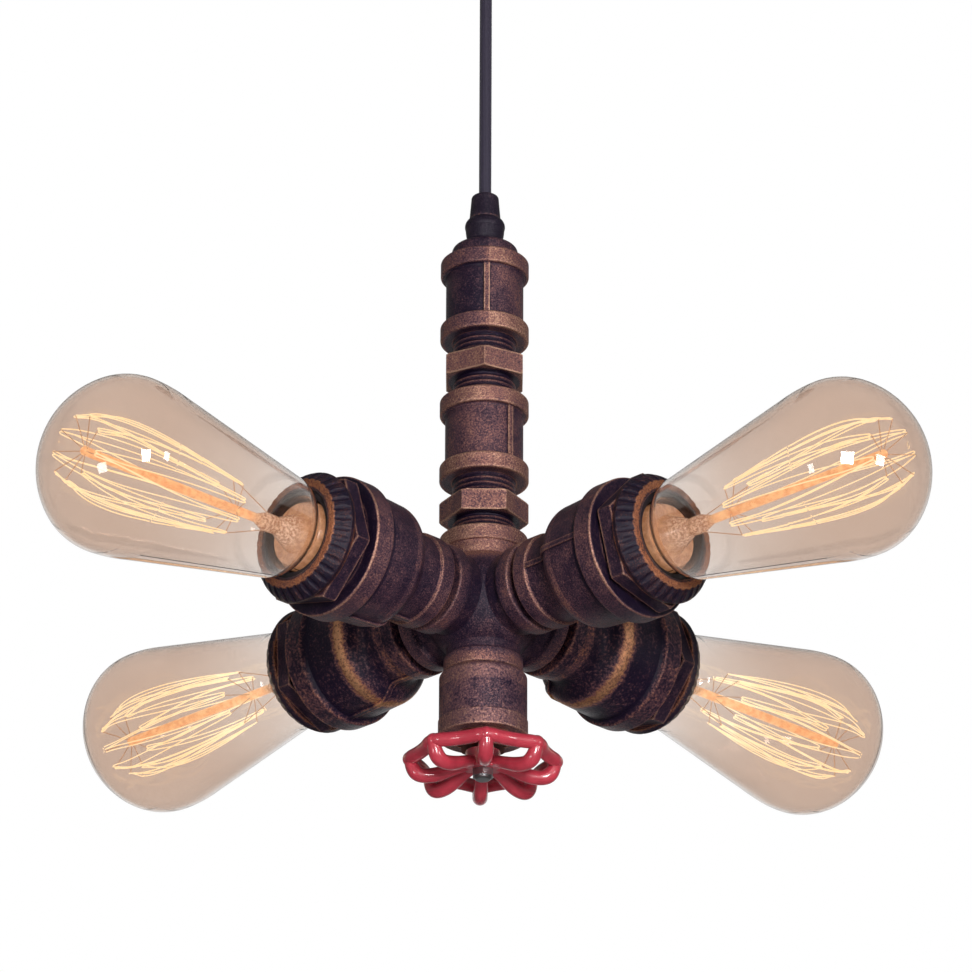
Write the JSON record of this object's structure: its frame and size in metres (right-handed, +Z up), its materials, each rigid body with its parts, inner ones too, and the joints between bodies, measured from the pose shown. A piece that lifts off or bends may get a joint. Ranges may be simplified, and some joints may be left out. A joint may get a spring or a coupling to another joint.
{
  "type": "pendant light",
  "caption": "Pendant light built of cast pipe fittings: a cord, a stack of couplings and hex nipples, a cross with level lamp arms and a red handwheel below.",
  "frame": {"origin": "on the ceiling, at the middle of the canopy's rim and of the bracket's two holes", "axes": "+Z up, the light hangs along -Z; the four arms lie on the diagonals of X and Y; front is -Y"},
  "size_m": [0.311, 0.311, 0.3996],
  "materials": {
    "cast_bronze": "cast fitting with an aged dark copper finish, worn bright on its edges",
    "thread_dark": "dark oiled pipe thread",
    "ring_bronze": "fluted ring, dark with a worn orange-brown front face",
    "grip_black": "satin black",
    "cord_fabric": "dark woven cord",
    "canopy_bronze": "aged dark copper paint",
    "steel": "zinc plated",
    "brass": "dull brass",
    "wheel_red": "glossy red enamel, chipped",
    "glass_tinted": "thin glass with a warm grey tint",
    "stem_glass": "brown stem glass",
    "filament_glow": "glowing wire",
    "cap_metal": "drawn screw cap",
    "phenolic": "moulded insulator",
    "block_plastic": "moulded block",
    "lead_sleeve": "sleeved lead"
  },
  "bodies": {
    "fitting": {"canopy": "canopy_bronze", "mounting_bracket": "steel", "canopy_screws": "canopy_bronze", "canopy_gland": "grip_black", "canopy_gland_nut": "brass", "terminal_block": "block_plastic", "pendant_cord": "cord_fabric", "cord_grip_cap": "grip_black", "cord_grip_base": "grip_black", "top_plug": "cast_bronze", "coupling_upper": "cast_bronze", "hex_nipple_upper": "cast_bronze", "coupling_lower": "cast_bronze", "hex_nipple_lower": "cast_bronze", "cross_body": "cast_bronze", "close_nipples": "thread_dark", "bottom_coupling": "cast_bronze", "gland_bush": "brass", "inner_cable": "cord_fabric", "splice_block": "block_plastic", "lamp_leads": "lead_sleeve", "screw_shells": "brass", "centre_contacts": "brass", "reducing_socket_front_left": "cast_bronze", "hex_bush_front_left": "cast_bronze", "clamp_ring_front_left": "ring_bronze", "holder_body_front_left": "phenolic", "reducing_socket_front_right": "cast_bronze", "hex_bush_front_right": "cast_bronze", "clamp_ring_front_right": "ring_bronze", "holder_body_front_right": "phenolic", "reducing_socket_back_right": "cast_bronze", "hex_bush_back_right": "cast_bronze", "clamp_ring_back_right": "ring_bronze", "holder_body_back_right": "phenolic", "reducing_socket_back_left": "cast_bronze", "hex_bush_back_left": "cast_bronze", "clamp_ring_back_left": "ring_bronze", "holder_body_back_left": "phenolic"},
    "wheel": {"handwheel": "wheel_red", "spindle": "brass", "wheel_nut": "steel"},
    "lamp_front_left": {"lamp_glass_front_left": "glass_tinted", "lamp_cap_front_left": "cap_metal", "lamp_stem_front_left": "stem_glass", "lamp_filament_front_left": "filament_glow"},
    "lamp_front_right": {"lamp_glass_front_right": "glass_tinted", "lamp_cap_front_right": "cap_metal", "lamp_stem_front_right": "stem_glass", "lamp_filament_front_right": "filament_glow"},
    "lamp_back_right": {"lamp_glass_back_right": "glass_tinted", "lamp_cap_back_right": "cap_metal", "lamp_stem_back_right": "stem_glass", "lamp_filament_back_right": "filament_glow"},
    "lamp_back_left": {"lamp_glass_back_left": "glass_tinted", "lamp_cap_back_left": "cap_metal", "lamp_stem_back_left": "stem_glass", "lamp_filament_back_left": "filament_glow"}
  },
  "joints": [
    {"name": "handwheel_turn", "type": "hinge", "parent": "fitting", "child": "wheel", "pos_m": [0, 0, -0.3909], "axis": [0, 0, 1], "continuous": true},
    {"name": "lamp_out_front_left", "type": "slide", "parent": "fitting", "child": "lamp_front_left", "axis": [-0.7071, -0.7071, 0], "range_m": [0, 0.036]},
    {"name": "lamp_out_front_right", "type": "slide", "parent": "fitting", "child": "lamp_front_right", "axis": [0.7071, -0.7071, 0], "range_m": [0, 0.036]},
    {"name": "lamp_out_back_right", "type": "slide", "parent": "fitting", "child": "lamp_back_right", "axis": [0.7071, 0.7071, 0], "range_m": [0, 0.036]},
    {"name": "lamp_out_back_left", "type": "slide", "parent": "fitting", "child": "lamp_back_left", "axis": [-0.7071, 0.7071, 0], "range_m": [0, 0.036]}
  ]
}
